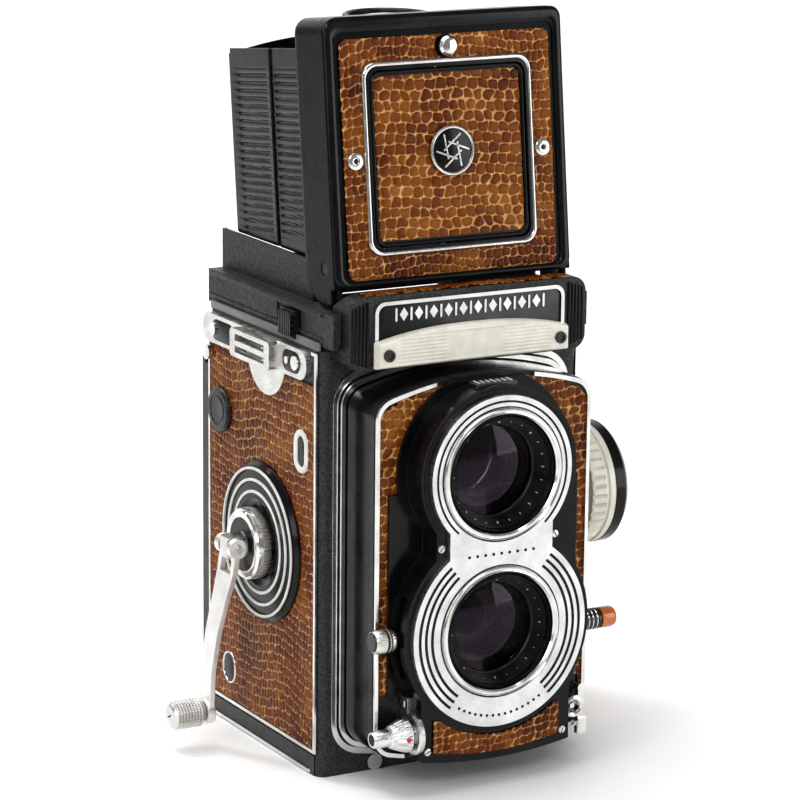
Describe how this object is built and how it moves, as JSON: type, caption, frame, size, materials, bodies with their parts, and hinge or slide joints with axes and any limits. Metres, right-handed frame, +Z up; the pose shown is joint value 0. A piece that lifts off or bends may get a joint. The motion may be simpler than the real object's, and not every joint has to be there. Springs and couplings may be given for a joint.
{
  "type": "twin lens reflex camera",
  "caption": "Waist-level roll-film camera with one lens above the other, folding viewing hood, focus knob, winding crank and reptile-grain leather covering.",
  "frame": {"origin": "centre of the tripod socket's mouth, in the plane of the base", "axes": "+Z up, the lenses look along -Y, the winding crank is on the -X side and the focus knob on the +X side"},
  "size_m": [0.1173, 0.0978, 0.2],
  "materials": {
    "black_enamel": "glossy black enamel",
    "black_crinkle": "crinkled black paint",
    "reptile_leather": "orange-brown reptile grain with pale borders",
    "satin_chrome": "satin chrome plate",
    "bright_chrome": "polished chrome plate",
    "satin_aluminium": "turned and lightly brushed",
    "cream_plastic": "fluted cream plastic",
    "amber_plastic": "amber tip",
    "black_plastic": "moulded black",
    "optical_glass": "coated glass",
    "ground_glass": "matt ground glass",
    "mirror_glass": "front-silvered",
    "black_sheet": "matt black sheet",
    "blue_steel": "blackened thin steel",
    "steel": "plain steel"
  },
  "bodies": {
    "body": {"body_casing": "black_enamel", "side_leather": "reptile_leather", "side_trim": "bright_chrome", "front_trim": "bright_chrome", "strap_lugs": "satin_chrome", "case_screws": "bright_chrome", "crank_escutcheon": "black_enamel", "counter_window": "bright_chrome", "spool_cap": "black_enamel", "mirror": "mirror_glass", "focusing_screen": "ground_glass", "screen_frame": "black_sheet", "light_baffle": "black_sheet", "meter_housing": "black_crinkle", "nameplate_frame": "bright_chrome", "meter_diffuser": "cream_plastic"},
    "door": {"back_door": "black_enamel", "pressure_plate": "black_sheet", "tripod_bush": "steel"},
    "base_catch": {"base_catch": "satin_chrome"},
    "takeup_spool": {"takeup_spool": "black_plastic"},
    "standard": {"front_standard": "black_enamel", "lens_sleeve": "black_enamel", "front_leather": "reptile_leather", "front_piping": "bright_chrome", "lens_housing": "black_enamel", "lens_bezel": "satin_aluminium", "viewing_barrel": "black_enamel", "viewing_glass": "optical_glass", "taking_barrel": "black_enamel", "taking_glass": "optical_glass", "aperture_blades": "blue_steel", "release_plate": "satin_chrome", "flash_socket": "bright_chrome"},
    "release_button": {"release_button": "satin_aluminium"},
    "sync_lever": {"sync_lever": "black_plastic"},
    "exposure_lever": {"exposure_lever": "amber_plastic"},
    "socket_lever": {"socket_lever": "bright_chrome"},
    "focus_knob": {"focus_knob": "cream_plastic", "focus_dial": "black_enamel"},
    "crank_hub": {"crank_hub": "satin_chrome"},
    "crank_arm": {"crank_arm": "satin_chrome"},
    "crank_handle": {"crank_handle": "satin_chrome"},
    "hood": {"hood_base": "black_crinkle"},
    "hood_latch": {"hood_latch": "black_enamel"},
    "lid": {"hood_lid": "black_enamel", "lid_leather": "reptile_leather", "window_frame": "bright_chrome", "lid_eyelets": "bright_chrome"},
    "lid_knob": {"lid_knob": "bright_chrome"},
    "sports_flap": {"sports_flap": "black_enamel", "flap_leather": "reptile_leather", "badge": "satin_chrome"},
    "front_wing_left": {"front_wing_left": "black_sheet"},
    "front_wing_right": {"front_wing_right": "black_sheet"},
    "rear_wing_left": {"rear_wing_left": "black_sheet"},
    "rear_wing_right": {"rear_wing_right": "black_sheet"},
    "hood_back_panel": {"hood_back_panel": "black_sheet"},
    "loupe": {"loupe_frame": "black_enamel", "loupe_lens": "optical_glass"}
  },
  "joints": [
    {"name": "door_open", "type": "hinge", "parent": "body", "child": "door", "pos_m": [0, 0.034, 0.1043], "axis": [1, 0, 0], "range_deg": [0, 110]},
    {"name": "catch_slide", "type": "slide", "parent": "body", "child": "base_catch", "axis": [1, 0, 0], "range_m": [0, 0.003]},
    {"name": "hood_release", "type": "slide", "parent": "body", "child": "hood", "axis": [0, 0, 1], "range_m": [0, 0.025]},
    {"name": "hood_latch_slide", "type": "slide", "parent": "hood", "child": "hood_latch", "axis": [0, 1, 0], "range_m": [0, 0.004]},
    {"name": "hood_fold", "type": "hinge", "parent": "hood", "child": "lid", "pos_m": [0, -0.02899, 0.13582], "axis": [-1, 0, 0], "range_deg": [0, 83.43]},
    {"name": "front_wing_left_fold", "type": "hinge", "parent": "lid", "child": "front_wing_left", "pos_m": [-0.0316, -0.01894, 0.16446], "axis": [0, -0.1144, -0.9934], "range_deg": [0, 90]},
    {"name": "front_wing_right_fold", "type": "hinge", "parent": "lid", "child": "front_wing_right", "pos_m": [0.0316, -0.01894, 0.16446], "axis": [0, 0.1144, 0.9934], "range_deg": [0, 90]},
    {"name": "rear_wing_left_fold", "type": "hinge", "parent": "front_wing_left", "child": "rear_wing_left", "pos_m": [-0.0322, 0.00539, 0.16165], "axis": [0, 0.1144, 0.9934], "range_deg": [0, 180]},
    {"name": "rear_wing_right_fold", "type": "hinge", "parent": "front_wing_right", "child": "rear_wing_right", "pos_m": [0.0322, 0.00539, 0.16165], "axis": [0, -0.1144, -0.9934], "range_deg": [0, 180]},
    {"name": "back_panel_fold", "type": "hinge", "parent": "rear_wing_left", "child": "hood_back_panel", "pos_m": [-0.0316, 0.02973, 0.15885], "axis": [0, -0.1144, -0.9934], "range_deg": [0, 90]},
    {"name": "loupe_fold", "type": "hinge", "parent": "lid", "child": "loupe", "pos_m": [0, -0.02104, 0.19429], "axis": [-1, 0, 0], "range_deg": [0, 97]},
    {"name": "flap_open", "type": "hinge", "parent": "lid", "child": "sports_flap", "pos_m": [0, -0.0274, 0.18546], "axis": [-1, 0, 0], "range_deg": [-85, 0]},
    {"name": "lid_knob_press", "type": "slide", "parent": "lid", "child": "lid_knob", "axis": [0, 0.9934, -0.1144], "range_m": [0, 0.0008], "stiffness_N_per_m": 300, "springref_m": -0.0005},
    {"name": "focus_turn", "type": "hinge", "parent": "body", "child": "focus_knob", "pos_m": [0.039, -0.0247, 0.069], "axis": [1, 0, 0], "range_deg": [0, 270]},
    {"name": "standard_slide", "type": "slide", "parent": "body", "child": "standard", "axis": [0, -1, 0], "range_m": [0, 0.0061]},
    {"name": "crank_turn", "type": "hinge", "parent": "body", "child": "crank_hub", "pos_m": [-0.039, -0.003, 0.0574], "axis": [-1, 0, 0], "continuous": true},
    {"name": "spool_turn", "type": "hinge", "parent": "body", "child": "takeup_spool", "pos_m": [0, 0.0202, 0.0862], "axis": [1, 0, 0], "continuous": true},
    {"name": "crank_fold", "type": "hinge", "parent": "crank_hub", "child": "crank_arm", "pos_m": [-0.0492, -0.003, 0.0574], "axis": [0, 1, 0], "range_deg": [0, 165]},
    {"name": "handle_spin", "type": "hinge", "parent": "crank_arm", "child": "crank_handle", "pos_m": [-0.0532, 0.0038, 0.01], "axis": [-1, 0, 0], "continuous": true},
    {"name": "release_press", "type": "slide", "parent": "standard", "child": "release_button", "axis": [1, 0, 0], "range_m": [0, 0.001], "stiffness_N_per_m": 400, "springref_m": -0.001},
    {"name": "sync_turn", "type": "hinge", "parent": "standard", "child": "sync_lever", "pos_m": [0, -0.0552, 0.04264], "axis": [0, 1, 0], "range_deg": [-18, 18]},
    {"name": "exposure_turn", "type": "hinge", "parent": "standard", "child": "exposure_lever", "pos_m": [0, -0.0552, 0.04264], "axis": [0, 1, 0], "range_deg": [-18, 18]},
    {"name": "socket_lever_turn", "type": "hinge", "parent": "standard", "child": "socket_lever", "pos_m": [0.0294, -0.0527, 0.021], "axis": [0, -1, 0], "range_deg": [0, 30]}
  ],
  "couplings": [
    {"joint": "front_wing_left_fold", "follows": "hood_fold", "ratio": 1.0787},
    {"joint": "front_wing_right_fold", "follows": "hood_fold", "ratio": 1.0787},
    {"joint": "rear_wing_left_fold", "follows": "hood_fold", "ratio": 2.1575},
    {"joint": "rear_wing_right_fold", "follows": "hood_fold", "ratio": 2.1575},
    {"joint": "back_panel_fold", "follows": "hood_fold", "ratio": 1.0787},
    {"joint": "loupe_fold", "follows": "hood_fold", "ratio": 1.1627},
    {"joint": "focus_turn", "follows": "standard_slide", "rad_per_m": 772.52},
    {"joint": "spool_turn", "follows": "crank_turn", "ratio": -2.0833}
  ]
}
